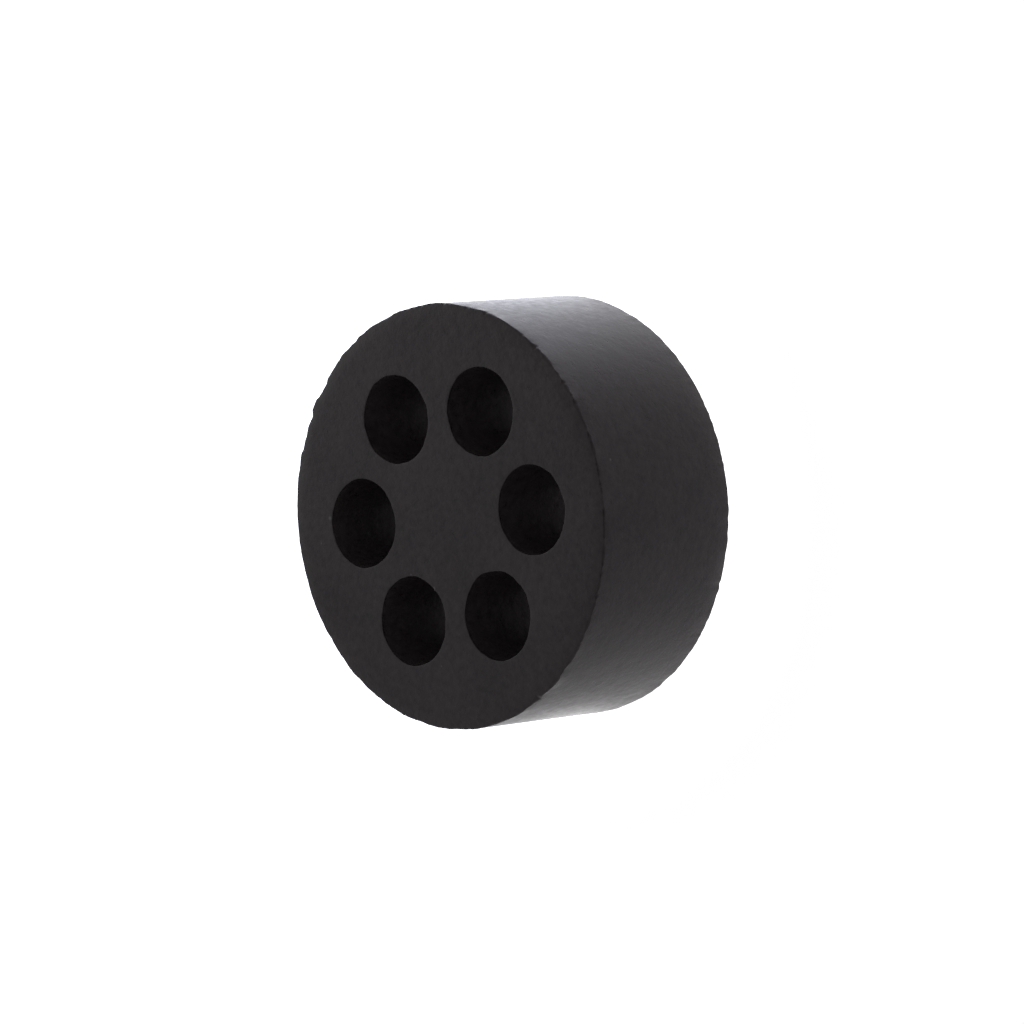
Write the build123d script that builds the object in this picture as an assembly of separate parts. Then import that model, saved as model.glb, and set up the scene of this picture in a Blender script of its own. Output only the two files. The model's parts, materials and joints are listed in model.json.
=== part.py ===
from build123d import *
import os

# Multi-cable sealing insert for a cable gland.
#
# The insert is one moulded rubber plug: a short round body with a ring of equal through bores, one for
# each cable, and a solid core. The gland's cage grips the round outside wall and squeezes the bores shut
# on the cables. The two end faces are alike, so the plug goes into the gland either way round.
#
# Frame, in millimetres: the origin is the centre of the lower end face, +Z runs along the plug's axis to
# the upper end face, and +X passes through the axis of the first bore.

# Driving dimensions.
BODY_DIAMETER = 20.0  # outside wall, the size that an M25 gland's cage takes
BODY_LENGTH = 8.6  # from end face to end face
CABLE_DIAMETER = 4.0  # each cable that the insert seals
CABLE_CLEARANCE = 0.2  # how much wider a moulded bore is than its cable
BORE_COUNT = 6
BORE_CIRCLE_DIAMETER = 11.0  # the circle that the bores' axes lie on
RIM_RADIUS = 0.1  # rounding of the outside wall's two edges
MOUTH_RADIUS = 0.08  # rounding of each bore's two edges

# Worked out from them.
BORE_DIAMETER = CABLE_DIAMETER + CABLE_CLEARANCE

OVERCUT = 1.0  # how far a bore's core runs past each end face, so that it leaves no skin


def plug():
    """The round body, solid, standing on its lower end face."""
    body = Cylinder(BODY_DIAMETER / 2, BODY_LENGTH, align=(Align.CENTER, Align.CENTER, Align.MIN))
    return fillet(body.edges().filter_by(GeomType.CIRCLE), RIM_RADIUS)


def bore_cores():
    """The straight cores that leave the ring of through bores, the first one on +X."""
    core = Pos(Z=BODY_LENGTH / 2) * Cylinder(BORE_DIAMETER / 2, BODY_LENGTH + 2 * OVERCUT)
    return PolarLocations(BORE_CIRCLE_DIAMETER / 2, BORE_COUNT) * core


def bore_edges(body):
    """The round edges where the bores meet the two end faces."""
    rounds = body.edges().filter_by(GeomType.CIRCLE)
    return rounds.filter_by(lambda edge: abs(edge.radius - BORE_DIAMETER / 2) < RIM_RADIUS / 2)


def gland_insert():
    """The whole insert: the plug with its bores, each bore eased at both mouths."""
    body = plug() - bore_cores()
    return fillet(bore_edges(body), MOUTH_RADIUS)


os.makedirs("parts", exist_ok=True)
export_step(gland_insert(), "parts/gland_insert.step")
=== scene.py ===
import json
import math
import random
from bisect import bisect_right

import bmesh
import bpy
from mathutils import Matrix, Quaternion, Vector, noise


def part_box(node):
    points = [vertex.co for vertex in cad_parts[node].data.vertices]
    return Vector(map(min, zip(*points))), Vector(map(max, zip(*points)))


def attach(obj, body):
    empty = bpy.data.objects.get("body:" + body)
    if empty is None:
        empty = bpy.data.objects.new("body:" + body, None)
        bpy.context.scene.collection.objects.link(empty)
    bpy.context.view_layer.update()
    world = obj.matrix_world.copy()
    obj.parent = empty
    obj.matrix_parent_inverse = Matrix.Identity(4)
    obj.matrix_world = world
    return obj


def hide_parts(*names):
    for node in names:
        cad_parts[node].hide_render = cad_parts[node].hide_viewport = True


# Looks for the cable gland insert: one black moulded rubber plug with a ring of cable bores.
#
# Everything is in metres, in the CAD frame: the plug stands on its lower end face at z = 0, its axis is +Z
# and its first bore is on +X. The plug is one piece, so one mesh stands for the CAD solid. It has the
# solid's sizes, plus what is too fine for the solid: rims and bore mouths that wander a little, as trimmed
# rubber does, an upper face that falls off a little toward its rim, and the marks that the trimming left.

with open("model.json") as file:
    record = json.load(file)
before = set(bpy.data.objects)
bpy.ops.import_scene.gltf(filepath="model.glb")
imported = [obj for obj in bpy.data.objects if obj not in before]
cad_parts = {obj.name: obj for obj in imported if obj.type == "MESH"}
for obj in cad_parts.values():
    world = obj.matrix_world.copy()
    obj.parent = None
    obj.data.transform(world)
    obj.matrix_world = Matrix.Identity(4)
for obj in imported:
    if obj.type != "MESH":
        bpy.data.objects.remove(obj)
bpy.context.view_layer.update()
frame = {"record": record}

MM = 0.001
TURN = 2 * math.pi
ORIGIN = Vector((0.0, 0.0, 0.0))

# ---------------------------------------------------------------- sizes from the frame

NODE = "gland_insert"
node_low, node_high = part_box(NODE)
BODY_R = (node_high.x - node_low.x) / 2
BODY_H = node_high.z - node_low.z
MOUNTS = {mount["name"]: mount for mount in frame["record"]["mounts"]}
BORES = [mount for mount in MOUNTS.values() if mount["kind"] == "bore"]
BORE_COUNT = len(BORES)
BORE_R = BORES[0]["dims"]["r_mm"] * MM
BORE_CIRCLE_R = math.hypot(BORES[0]["pos_m"][0], BORES[0]["pos_m"][1])
RIM_R = (BODY_H - MOUNTS["outer_wall"]["dims"]["length_mm"] * MM) / 2
MOUTH_R = (BODY_H - BORES[0]["dims"]["length_mm"] * MM) / 2

# ---------------------------------------------------------------- how finely the mesh is divided

SECTOR = TURN / BORE_COUNT  # each bore's share of the turn
OUTER_STEPS = 180  # along a sector's outer arc
SIDE_STEPS = 40  # along each of its straight sides
CORE_STEPS = 16  # along its inner arc
CELL_ROWS = 6  # from a bore's band out to the sector's edge
CORE_ROWS = 6  # from the core's edge to its centre
OUTSIDE_ROWS = (5, 6, 12)  # across the strip along a rim, round the rim, and along the wall
BORE_ROWS = (2, 4, 6)  # the same for a bore: strip, mouth and wall

RIM_BAND = 0.60 * MM  # the strip of an end face that follows the rim
MOUTH_BAND = 0.30 * MM  # the strip of an end face that follows a bore's mouth
CORE_R = 2.2 * MM  # the solid core inside the ring of bores
FLAT_R = BODY_R - RIM_BAND
MERGE = 0.001 * MM  # points closer than this become one

# ---------------------------------------------------------------- wear and trimming marks

# Rims and mouths are made of short straight cuts, each (typical length, how far it strays in or out).
UPPER_CUTS = [(0.70 * MM, 0.033 * MM), (0.24 * MM, 0.011 * MM)]
LOWER_CUTS = [(0.60 * MM, 0.018 * MM), (0.26 * MM, 0.014 * MM)]
MOUTH_CUTS = [(0.60 * MM, 0.032 * MM), (0.20 * MM, 0.012 * MM)]
RIM_REACH = 0.40 * MM  # how far from the edge the straying fades out
MOUTH_REACH = 0.22 * MM

# Most of them are sharper than the mould's own rounding, and unevenly so. For the upper and the lower edge:
# (share of the rounding that is left, give or take).
RIM_SHARPNESS = ((0.74, 0.78), (0.60, 0.35))
MOUTH_SHARPNESS = ((0.38, 0.20), (0.38, 0.20))
SHARPEST = 0.12  # the smallest share on a rim
KEEN_SIDE, KEEN_SHARE = 60.0, 0.65  # the angle where the upper rim is sharpest, and how much less is left
BEAD = 0.20 * MM  # typical length over which the sharpness changes

# The upper rim's trimming mark: a low stretch with the stub of the cut flash left standing in it.
# Here and below, angles round the rims are in degrees about the axis from the first bore.
TRIM_FROM, TRIM_TO, TRIM_DEPTH = 15.2, 39.4, 0.080 * MM
TRIM_EASE = 1.8  # degrees over which it gets deep at either end
STUB_AT, STUB_WIDTH, STUB_HEIGHT = 24.5, 6.0, 0.138 * MM
STUB_STEEPNESS = 2.2  # times as steep as a plain tooth, and so flat on top

# Low places along the rims, each (angle, width in degrees, depth). Those with a negative depth are proud.
UPPER_LOWS = [
    (7.0, 20.0, -0.040 * MM),
    (42.6, 9.5, 0.075 * MM),
    (92.5, 2.2, 0.045 * MM),
    (318.0, 30.0, 0.020 * MM),
]
LOWER_LOWS = [
    (150.0, 3.0, 0.035 * MM),
    (158.0, 16.0, 0.028 * MM),
    (215.0, 2.6, 0.050 * MM),
    (222.0, 40.0, 0.016 * MM),
    (248.5, 1.4, 0.035 * MM),
    (331.0, 3.0, 0.035 * MM),
]

# Places where the upper rim is chipped, each (angle, width in degrees, more of the rounding).
UPPER_CHIPS = [
    (308.9, 1.8, 1.0),
    (288.7, 3.0, 1.8),
    (275.1, 1.8, 1.1),
    (268.4, 2.2, 1.2),
    (231.6, 1.6, 0.9),
    (215.6, 1.4, 0.8),
    (179.0, 2.2, 1.2),
]

# The larger grains of pale dust, each (how far from the axis, angle, height, radius).
DUST = [
    (3.50 * MM, 129.8, 8.58 * MM, 0.13 * MM),
    (7.72 * MM, 57.2, 8.60 * MM, 0.14 * MM),
    (7.55 * MM, 64.1, 6.31 * MM, 0.15 * MM),
    (10.0 * MM, 251.6, 7.61 * MM, 0.09 * MM),
]

# A crumb of rubber left at one bore's upper mouth: which bore, the angle about that bore, width and height.
CRUMB_BORE, CRUMB_AT, CRUMB_WIDTH, CRUMB_HEIGHT = 2, 281.0, 6.0, 0.07 * MM

FACE_WAVE, FACE_WAVE_SIZE = 0.005 * MM, 3.0 * MM  # unevenness of the moulded faces and how far it spans
WAVE_SEED = 5  # which unevenness, the same one in every run
STILL_FOOT = 1.0 * MM  # up to this height the unevenness fades to nothing, so the plug stands flat

# The upper face isn't quite flat: it stands a little proud, and falls off toward the rim, ever more steeply.
FACE_RISE, FALL_DEPTH, FALL_REACH = 0.026 * MM, 0.054 * MM, 1.0 * MM
FALL_FADE = 0.4 * MM  # how far down the walls this fades out


def spread(start, stop, count):
    """count values from start towards stop, stop left out."""
    return [start + (stop - start) * i / count for i in range(count)]


def eased(start, stop, count):
    """The count + 1 values from start to stop, closer together near both ends."""
    return [start + (stop - start) * (1 - math.cos(math.pi * i / count)) / 2 for i in range(count + 1)]


def polar(radius, angle):
    return radius * math.cos(angle), radius * math.sin(angle)


def turned(x, y, angle):
    """(x, y) turned about the axis."""
    return x * math.cos(angle) - y * math.sin(angle), x * math.sin(angle) + y * math.cos(angle)


# ---------------------------------------------------------------- the plug's mesh


def wall_profile(band, upper_rounding, lower_rounding, rows):
    """(depth into the rubber, z) down one wall: in over the upper face, round its edge, down, and back out.

    The outside wall and the bores share it, since both run from one end face to the other.
    """

    def end(rounding):
        points = [(inset, 0.0) for inset in eased(band, rounding, rows[0])[:-1]]
        for angle in eased(0.0, math.pi / 2, rows[1]):
            points.append((rounding * (1 - math.sin(angle)), rounding * (1 - math.cos(angle))))
        return points

    upper = [(inset, BODY_H - drop) for inset, drop in end(upper_rounding)]
    wall = [(0.0, z) for z in eased(BODY_H - upper_rounding, lower_rounding, rows[2])[1:-1]]
    return upper + wall + end(lower_rounding)[::-1]


def loft(mesh, rows):
    """Joins each closed row of points to the next with four-sided faces."""
    made = [[mesh.verts.new(point) for point in row] for row in rows]
    count = len(made[0])
    for here, there in zip(made, made[1:]):
        for i in range(count):
            j = (i + 1) % count
            mesh.faces.new((here[i], here[j], there[j], there[i]))
    return made


def sector_edge():
    """The edge of one bore's share of an end face, once round, with the bore on +X."""
    half = SECTOR / 2
    outer = [polar(FLAT_R, angle) for angle in spread(-half, half, OUTER_STEPS)]
    inward = [polar(radius, half) for radius in spread(FLAT_R, CORE_R, SIDE_STEPS)]
    inner = [polar(CORE_R, angle) for angle in spread(half, -half, CORE_STEPS)]
    outward = [polar(radius, -half) for radius in spread(CORE_R, FLAT_R, SIDE_STEPS)]
    return outer + inward + inner + outward


def add_bore(mesh, edge, k):
    """Bore k with its share of both end faces. edge is sector_edge()."""
    turn = k * SECTOR

    def place(radius, angle, z):
        x, y = polar(radius, angle)
        return (*turned(x + BORE_CIRCLE_R, y, turn), z)

    around = [math.atan2(y, x - BORE_CIRCLE_R) for x, y in edge]
    columns = []
    for angle in around:
        upper, lower = (MOUTH_R * sharpness(angle) for sharpness in mouth_sharpness[k])
        profile = wall_profile(MOUTH_BAND, upper, lower, BORE_ROWS)
        columns.append([place(BORE_R + inset, angle, z) for inset, z in profile])
    loft(mesh, zip(*columns))
    for z in (0.0, BODY_H):
        inner = [place(BORE_R + MOUTH_BAND, angle, z) for angle in around]
        outer = [(*turned(x, y, turn), z) for x, y in edge]
        rows = []
        for share in spread(0.0, 1.0 + 1.0 / CELL_ROWS, CELL_ROWS + 1):
            rows.append([Vector(a).lerp(Vector(b), share) for a, b in zip(inner, outer)])
        loft(mesh, rows)


def add_core(mesh):
    """The two end faces inside the ring of bores."""
    around = spread(0.0, TURN, CORE_STEPS * BORE_COUNT)
    offset = SECTOR / 2
    for z in (0.0, BODY_H):
        radii = spread(CORE_R, 0.0, CORE_ROWS)
        rows = loft(mesh, [[(*polar(radius, angle + offset), z) for angle in around] for radius in radii])
        centre = mesh.verts.new((0.0, 0.0, z))
        last = rows[-1]
        for i, vertex in enumerate(last):
            mesh.faces.new((vertex, last[(i + 1) % len(last)], centre))


def add_outside(mesh):
    """The outside wall, both rims and the strips of end face along them."""
    columns = []
    for angle in spread(SECTOR / 2, SECTOR / 2 + TURN, OUTER_STEPS * BORE_COUNT):
        upper, lower = (sharpness(angle) for sharpness in rim_sharpness)
        upper *= 1 - KEEN_SHARE * max(0.0, math.cos(angle - math.radians(KEEN_SIDE)))
        upper, lower = max(SHARPEST, upper), max(SHARPEST, lower)
        for centre, width, more in UPPER_CHIPS:
            upper += more * tooth(math.degrees(angle), centre, width)
        profile = wall_profile(RIM_BAND, RIM_R * upper, RIM_R * lower, OUTSIDE_ROWS)
        columns.append([(*polar(BODY_R - inset, angle), z) for inset, z in profile])
    loft(mesh, zip(*columns))


# ---------------------------------------------------------------- unevenness


def wander(seed, cuts, radius, middle=0.0):
    """A value that runs in straight stretches round a circle, as a function from angle to value.

    It is middle, give or take. cuts is a list of (typical length of a stretch, how much to give or take).
    """
    draw = random.Random(seed)
    runs = []
    for length, depth in cuts:
        knots = [0.0]
        while knots[-1] < TURN:
            knots.append(knots[-1] + length / radius * draw.uniform(0.35, 1.65))
        knots[-1] = TURN
        heights = [depth * draw.uniform(-1.0, 1.0) for _ in knots]
        heights[-1] = heights[0]
        runs.append((knots, heights))

    def value(angle):
        angle %= TURN
        total = middle
        for knots, heights in runs:
            i = min(bisect_right(knots, angle), len(knots) - 1)
            share = (angle - knots[i - 1]) / (knots[i] - knots[i - 1])
            total += heights[i - 1] + (heights[i] - heights[i - 1]) * share
        return total

    return value


def smooth(value):
    """0 below 0, 1 above 1, and a soft step between."""
    value = min(max(value, 0.0), 1.0)
    return value * value * (3 - 2 * value)


def away(angle, centre):
    """How far angle, in degrees, is from centre, going the shorter way round."""
    return abs((angle - centre + 180) % 360 - 180)


def tooth(angle, centre, width):
    """1 at centre, falling straight to 0 half a width to each side. All in degrees."""
    return max(0.0, 1 - away(angle, centre) / (width / 2))


def trim_mark(angle):
    """The offset of the trimming mark on the upper rim, at an angle in degrees."""
    into = min(angle - TRIM_FROM, TRIM_TO - angle)
    low = -TRIM_DEPTH * smooth(into / TRIM_EASE)
    return low + STUB_HEIGHT * min(1.0, STUB_STEEPNESS * tooth(angle, STUB_AT, STUB_WIDTH))


upper_wander = wander(3, UPPER_CUTS, BODY_R)
lower_wander = wander(8, LOWER_CUTS, BODY_R)
mouth_wanders = [wander(20 + k, MOUTH_CUTS, BORE_R) for k in range(2 * BORE_COUNT)]


def sharpness_pair(seed, radius, pair):
    """How a rounding's share changes along an upper and a lower edge."""
    return [wander(seed + i, [(BEAD, give)], radius, share) for i, (share, give) in enumerate(pair)]


rim_sharpness = sharpness_pair(50, BODY_R, RIM_SHARPNESS)
mouth_sharpness = [sharpness_pair(60 + 2 * k, BORE_R, MOUTH_SHARPNESS) for k in range(BORE_COUNT)]


def rim_offset(angle, upper):
    """How far a rim is pushed out at an angle, in radians."""
    degrees = math.degrees(angle) % 360
    offset = upper_wander(angle) + trim_mark(degrees) if upper else lower_wander(angle)
    for centre, width, depth in UPPER_LOWS if upper else LOWER_LOWS:
        offset -= depth * tooth(degrees, centre, width)
    return offset


def mouth_offset(k, angle, upper):
    """How far bore k's mouth is pushed into the bore at an angle about its own axis, in radians."""
    offset = mouth_wanders[2 * k + upper](angle)
    if upper and k == CRUMB_BORE:
        offset += CRUMB_HEIGHT * tooth(math.degrees(angle) % 360, CRUMB_AT, CRUMB_WIDTH)
    return offset


def unevenness(point):
    """Where a point of the true plug goes on the moulded and trimmed one."""
    moved = point.copy()
    upper = point.z > BODY_H / 2
    end = BODY_H if upper else 0.0
    flat = Vector((point.x, point.y, 0.0))
    radius = flat.length
    to_rim = math.hypot(BODY_R - radius, end - point.z)
    if to_rim < RIM_REACH:
        angle = math.atan2(point.y, point.x)
        moved += flat.normalized() * rim_offset(angle, upper) * smooth(1 - to_rim / RIM_REACH)
    for k in range(BORE_COUNT):
        centre = Vector((*polar(BORE_CIRCLE_R, k * SECTOR), 0.0))
        spoke = flat - centre
        to_mouth = math.hypot(spoke.length - BORE_R, end - point.z)
        if to_mouth < MOUTH_REACH:
            angle = math.atan2(spoke.y, spoke.x)
            moved -= spoke.normalized() * mouth_offset(k, angle, upper) * smooth(1 - to_mouth / MOUTH_REACH)
    fall = FALL_DEPTH * max(0.0, 1 - (BODY_R - radius) / FALL_REACH) ** 3
    moved.z += (FACE_RISE - fall) * smooth(1 - (BODY_H - point.z) / FALL_FADE)
    return moved + noise.noise_vector(point / FACE_WAVE_SIZE) * FACE_WAVE * smooth(point.z / STILL_FOOT)


def make_plug():
    """The whole plug as one closed mesh."""
    noise.seed_set(WAVE_SEED)
    mesh = bmesh.new()
    edge = sector_edge()
    for k in range(BORE_COUNT):
        add_bore(mesh, edge, k)
    add_core(mesh)
    add_outside(mesh)
    bmesh.ops.remove_doubles(mesh, verts=mesh.verts, dist=MERGE)
    bmesh.ops.recalc_face_normals(mesh, faces=mesh.faces)
    places = [unevenness(vertex.co) for vertex in mesh.verts]
    for vertex, place in zip(mesh.verts, places):
        vertex.co = place
    for face in mesh.faces:
        face.smooth = True
    data = bpy.data.meshes.new("rubber_plug")
    mesh.to_mesh(data)
    mesh.free()
    piece = bpy.data.objects.new("rubber_plug", data)
    bpy.context.scene.collection.objects.link(piece)
    return piece


# ---------------------------------------------------------------- materials


class Nodes:
    """A short way to add nodes to a material and link them."""

    def __init__(self, tree):
        self.tree = tree
        tree.nodes.clear()

    def add(self, kind, **inputs):
        node = self.tree.nodes.new(kind)
        for name, value in inputs.items():
            self.feed(node.inputs[name.replace("_", " ")], value)
        return node

    def feed(self, socket, value):
        if isinstance(value, bpy.types.NodeSocket):
            self.tree.links.new(value, socket)
        else:
            socket.default_value = value

    def math(self, operation, *values):
        node = self.tree.nodes.new("ShaderNodeMath")
        node.operation = operation
        for socket, value in zip(node.inputs, values):
            self.feed(socket, value)
        return node.outputs[0]

    def dot(self, vector, direction):
        node = self.tree.nodes.new("ShaderNodeVectorMath")
        node.operation = "DOT_PRODUCT"
        self.feed(node.inputs[0], vector)
        self.feed(node.inputs[1], direction)
        return node.outputs["Value"]

    def times(self, vector, factors):
        node = self.tree.nodes.new("ShaderNodeVectorMath")
        node.operation = "MULTIPLY"
        self.feed(node.inputs[0], vector)
        self.feed(node.inputs[1], factors)
        return node.outputs["Vector"]

    def distance(self, vector, point):
        node = self.tree.nodes.new("ShaderNodeVectorMath")
        node.operation = "DISTANCE"
        self.feed(node.inputs[0], vector)
        self.feed(node.inputs[1], point)
        return node.outputs["Value"]

    def ramp(self, value, start, stop, low, high):
        """low below start, high above stop, and a soft step between."""
        node = self.add("ShaderNodeMapRange", Value=value, From_Min=start, From_Max=stop, To_Min=low,
                        To_Max=high)
        node.interpolation_type = "SMOOTHSTEP"
        return node.outputs["Result"]

    def blend(self, share, low, high):
        """A colour that goes from low to high as share goes from 0 to 1."""
        node = self.tree.nodes.new("ShaderNodeMix")
        node.data_type = "RGBA"
        self.feed(node.inputs[0], share)
        self.feed(node.inputs[6], low)
        self.feed(node.inputs[7], high)
        return node.outputs[2]

    def mix(self, share, low, high):
        """A number that goes from low to high as share goes from 0 to 1."""
        return self.add("ShaderNodeMapRange", Value=share, To_Min=low, To_Max=high).outputs["Result"]

    def noise(self, place, size, detail, roughness=0.5):
        """Noise whose spots are about size across, in metres."""
        return self.add("ShaderNodeTexNoise", Vector=place, Scale=1 / size, Detail=detail,
                        Roughness=roughness).outputs["Fac"]


def grey(level, tint=(1.0, 1.0, 1.0)):
    return (*(level * share for share in tint), 1.0)


WARM = (1.14, 0.92, 0.97)  # the rubber's black leans this way
RUBBER_TONES = grey(0.0022, WARM), grey(0.0082, WARM)
BORE_LIGHT_TONES = grey(0.0104, WARM), grey(0.0190, WARM)  # painted light: paler tones for the bore walls, standing in for the haze of light inside them
DUST_TONE = grey(0.027)
BORE_LIGHT_FROM, BORE_LIGHT_TO = 0.02 * MM, 0.10 * MM  # how far inside a mouth the painted light of the bore walls sets in
BORE_LIGHT_FULL, BORE_LIGHT_SHARE = 2.5 * MM, 0.62  # how far below the upper mouth the painted bore light is full, and its share before that
SPECK_APART, SPECK_RADIUS, SPECK_CHANCE = 0.9 * MM, 0.045 * MM, 0.10


def rubber_material():
    """Black moulded rubber: satin, with a fine mottle, faint clouds, a few specks of pale dust and painted
    light in the bores.
    """
    material = bpy.data.materials.new("black_rubber")
    material.use_nodes = True
    nodes = Nodes(material.node_tree)
    place = nodes.add("ShaderNodeTexCoord").outputs["Object"]

    mottle = nodes.noise(place, 0.36 * MM, 3.0, 0.6)
    cloud = nodes.noise(place, 3.2 * MM, 2.0)
    grain = nodes.noise(place, 0.13 * MM, 2.0)
    swell = nodes.noise(place, 1.1 * MM, 1.0)

    tone = nodes.math("ADD", nodes.math("MULTIPLY", mottle, 0.65), nodes.math("MULTIPLY", cloud, 0.35))
    tone = nodes.add("ShaderNodeMapRange", Value=tone, From_Min=0.36, From_Max=0.64).outputs["Result"]
    rubber_colour = nodes.blend(tone, *RUBBER_TONES)
    # painted light: the bore walls blend toward paler tones, more so with depth, standing in for the haze of
    # light inside the bores
    bore_light = nodes.blend(tone, *BORE_LIGHT_TONES)
    radius = nodes.distance(nodes.times(place, (1.0, 1.0, 0.0)), ORIGIN)
    inward = nodes.ramp(radius, FLAT_R, FLAT_R - 0.1 * MM, 0.0, 1.0)
    height = nodes.add("ShaderNodeSeparateXYZ", Vector=place).outputs["Z"]
    below = nodes.ramp(height, BODY_H - BORE_LIGHT_FROM, BODY_H - BORE_LIGHT_TO, 0.0, BORE_LIGHT_SHARE)
    deeper = nodes.ramp(height, BODY_H - BORE_LIGHT_TO, BODY_H - BORE_LIGHT_FULL, 0.0, 1 - BORE_LIGHT_SHARE)
    below = nodes.math("ADD", below, deeper)
    above = nodes.ramp(height, BORE_LIGHT_FROM, BORE_LIGHT_TO, 0.0, 1.0)
    bore_light_mask = nodes.math("MULTIPLY", nodes.math("MULTIPLY", below, above), inward)
    colour = nodes.blend(bore_light_mask, rubber_colour, bore_light)

    speck = nodes.add("ShaderNodeTexVoronoi", Vector=place, Scale=1 / SPECK_APART)
    near = nodes.math("LESS_THAN", speck.outputs["Distance"], SPECK_RADIUS / SPECK_APART)
    draw = nodes.add("ShaderNodeSeparateColor", Color=speck.outputs["Color"]).outputs["Red"]
    dust = nodes.math("MULTIPLY", near, nodes.math("GREATER_THAN", draw, 1 - SPECK_CHANCE))
    for out, degrees, level, reach in DUST:
        centre = Vector((*polar(out, math.radians(degrees)), level))
        grain_of_dust = nodes.ramp(nodes.distance(place, centre), reach, reach / 3, 0.0, 1.0)
        dust = nodes.math("MAXIMUM", dust, grain_of_dust)
    colour = nodes.blend(dust, colour, DUST_TONE)

    roughness = nodes.add("ShaderNodeMapRange", Value=mottle, From_Min=0.3, From_Max=0.7, To_Min=0.27,
                          To_Max=0.37).outputs["Result"]
    relief = nodes.math("ADD", nodes.math("MULTIPLY", grain, 0.45), mottle)
    relief = nodes.math("ADD", nodes.math("MULTIPLY", swell, 1.35), relief)
    bump = nodes.add("ShaderNodeBump", Height=relief, Strength=0.6, Distance=0.018 * MM).outputs["Normal"]

    shader = nodes.add("ShaderNodeBsdfPrincipled", Base_Color=colour, Roughness=roughness, Normal=bump,
                       IOR=1.26, Specular_Tint=(1.0, 0.92, 0.985, 1.0))
    nodes.add("ShaderNodeOutputMaterial", Surface=shader.outputs["BSDF"])
    return material


def flat_direction(degrees):
    return Vector((*polar(1.0, math.radians(degrees)), 0.0))


def floor_material():
    """The pale table. Its glow stands in for the white surround that the satin rubber mirrors.

    It grows toward one side, has one brighter patch, and is stronger near the plug, mostly along the foot
    on the camera's side. Under the plug a weaker glow stands in for the light in the open bores.
    """
    material = bpy.data.materials.new("pale_table")
    material.use_nodes = True
    nodes = Nodes(material.node_tree)
    place = nodes.add("ShaderNodeTexCoord").outputs["Object"]
    radius = nodes.distance(place, ORIGIN)

    azimuth, start, stop, more = GLOW_SIDE
    side = nodes.ramp(nodes.dot(place, flat_direction(azimuth)), start, stop, 0.0, 1.0)
    tint = nodes.blend(side, GLOW_TINT, GLOW_SIDE_TINT)
    centre, reach, extra = GLOW_PATCH
    patch = nodes.ramp(nodes.distance(place, centre), 0.0, reach, extra, 0.0)
    wide = nodes.math("ADD", nodes.math("MULTIPLY_ADD", side, more, GLOW), patch)

    ring = nodes.ramp(radius, BODY_R, BODY_R + GLOW_RING_REACH, GLOW_RING, 1.0)
    azimuth, start, stop, more = GLOW_FOOT
    facing = nodes.ramp(nodes.dot(place, flat_direction(azimuth)), start, stop, 0.0, more)
    foot = nodes.math("MULTIPLY", nodes.ramp(radius, BODY_R, BODY_R + GLOW_FOOT_REACH, 1.0, 0.0), facing)
    around = nodes.math("MULTIPLY", wide, nodes.math("ADD", ring, foot))

    out_of_cover = nodes.ramp(radius, UNDER_FROM, UNDER_TO, 0.0, 1.0)
    glow = nodes.mix(out_of_cover, GLOW_UNDER, around)
    tint = nodes.blend(out_of_cover, GLOW_UNDER_TINT, tint)
    shader = nodes.add("ShaderNodeBsdfPrincipled", Base_Color=grey(FLOOR_PAINT), Roughness=0.9,
                       Specular_IOR_Level=0.0, Emission_Color=tint, Emission_Strength=glow)
    nodes.add("ShaderNodeOutputMaterial", Surface=shader.outputs["BSDF"])
    return material


# ---------------------------------------------------------------- studio

FLOOR_PAINT = 0.10
FLOOR_SIZE = 3.0
GLOW = 0.93
GLOW_SIDE = (27.0, -6.4 * MM, 8.0 * MM, 1.14)  # toward which azimuth, from where to where, and how much more
GLOW_PATCH = (Vector((-7.7, 6.6, 0.0)) * MM, 4.6 * MM, 1.0)  # centre, reach and how much more
GLOW_RING, GLOW_RING_REACH = 1.25, 5.5 * MM  # times this much at the plug's wall, and how far out it fades
GLOW_FOOT = (240.75, 3.0 * MM, 10.0 * MM, 0.45)  # the same four as for the side, added to the ring
GLOW_FOOT_REACH = 0.9 * MM
GLOW_UNDER = 0.72  # the glow under the plug
GLOW_TINT, GLOW_SIDE_TINT = (1.0, 0.985, 1.0, 1.0), (0.97, 0.985, 1.075, 1.0)
GLOW_UNDER_TINT = (1.0, 0.95, 0.975, 1.0)
UNDER_FROM, UNDER_TO = BODY_R - 0.4 * MM, BODY_R - 0.1 * MM  # where the one glow passes into the other

SKY = 1.03
SKY_BY_CAMERA = 0.35  # the room behind the camera is dimmer
DIM_FROM, DIM_TO = 0.87, 0.97  # cosines of the angle from the camera's direction where it dims

LIGHT_AZIMUTH, LIGHT_ELEVATION = 33.0, 29.0  # degrees, about the axis from the first bore and up
LIGHT_DISTANCE, LIGHT_SIZE, LIGHT_POWER = 0.09, 0.06, 0.010  # metres, metres, watts

VIEW_AZIMUTH, VIEW_ELEVATION, VIEW_ROLL = -29.26, 46.28, 95.55  # degrees
VIEW_DISTANCE = 0.29425
VIEW_LENS, VIEW_SENSOR = 219.0, 36.0  # millimetres
VIEW_AIM = Vector((-0.091, -0.023, -0.062)) * MM  # from the plug's centre


def view_back():
    """The direction from the plug to the camera."""
    azimuth, elevation = math.radians(VIEW_AZIMUTH), math.radians(VIEW_ELEVATION)
    flat = math.cos(elevation)
    return Vector((math.sin(azimuth) * flat, -math.cos(azimuth) * flat, math.sin(elevation)))


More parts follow.
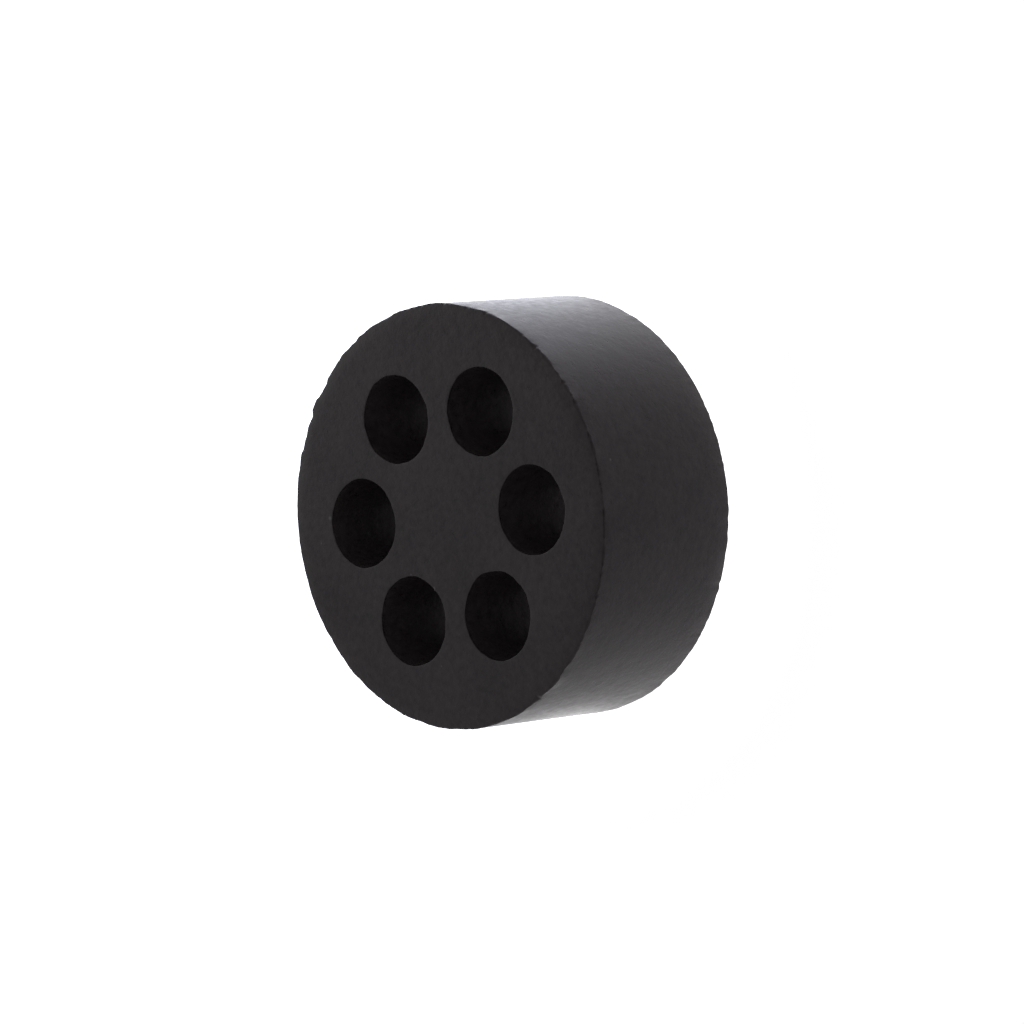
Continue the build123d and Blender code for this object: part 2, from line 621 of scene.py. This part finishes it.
def make_camera():
    data = bpy.data.cameras.new("camera")
    data.lens = VIEW_LENS
    data.sensor_width = VIEW_SENSOR
    data.clip_start, data.clip_end = 0.01, 10.0
    camera = bpy.data.objects.new("camera", data)
    back = view_back()
    camera.location = Vector((0.0, 0.0, BODY_H / 2)) + VIEW_AIM + back * VIEW_DISTANCE
    roll = Quaternion((0.0, 0.0, 1.0), -math.radians(VIEW_ROLL))
    camera.rotation_mode = "QUATERNION"
    camera.rotation_quaternion = (-back).to_track_quat("-Z", "Y") @ roll
    bpy.context.scene.collection.objects.link(camera)
    bpy.context.scene.camera = camera


def make_floor():
    mesh = bpy.data.meshes.new("table")
    half = FLOOR_SIZE / 2
    corners = [(-half, -half, 0.0), (half, -half, 0.0), (half, half, 0.0), (-half, half, 0.0)]
    mesh.from_pydata(corners, [], [(0, 1, 2, 3)])
    mesh.materials.append(floor_material())
    table = bpy.data.objects.new("table", mesh)
    bpy.context.scene.collection.objects.link(table)


def make_world():
    """A soft white surround with a dimmer patch where the camera stands."""
    world = bpy.data.worlds.new("studio")
    world.use_nodes = True
    nodes = Nodes(world.node_tree)
    direction = nodes.add("ShaderNodeTexCoord").outputs["Generated"]
    level = nodes.ramp(nodes.dot(direction, view_back()), DIM_FROM, DIM_TO, SKY, SKY_BY_CAMERA)
    light = nodes.add("ShaderNodeBackground", Color=grey(1.0), Strength=level)
    nodes.add("ShaderNodeOutputWorld", Surface=light.outputs["Background"])
    bpy.context.scene.world = world


def make_light():
    data = bpy.data.lights.new("softbox", "AREA")
    data.shape = "SQUARE"
    data.size = LIGHT_SIZE
    data.energy = LIGHT_POWER
    azimuth, elevation = math.radians(LIGHT_AZIMUTH), math.radians(LIGHT_ELEVATION)
    flat = math.cos(elevation)
    toward = Vector((math.cos(azimuth) * flat, math.sin(azimuth) * flat, math.sin(elevation)))
    light = bpy.data.objects.new("softbox", data)
    light.location = toward * LIGHT_DISTANCE
    light.rotation_mode = "QUATERNION"
    light.rotation_quaternion = toward.to_track_quat("Z", "Y")
    light.visible_camera = False
    bpy.context.scene.collection.objects.link(light)


make_camera()
make_world()
make_floor()
make_light()

plug = make_plug()
plug.data.materials.append(rubber_material())
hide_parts(NODE)
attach(plug, "root")

bpy.context.scene.view_settings.view_transform = "Standard"
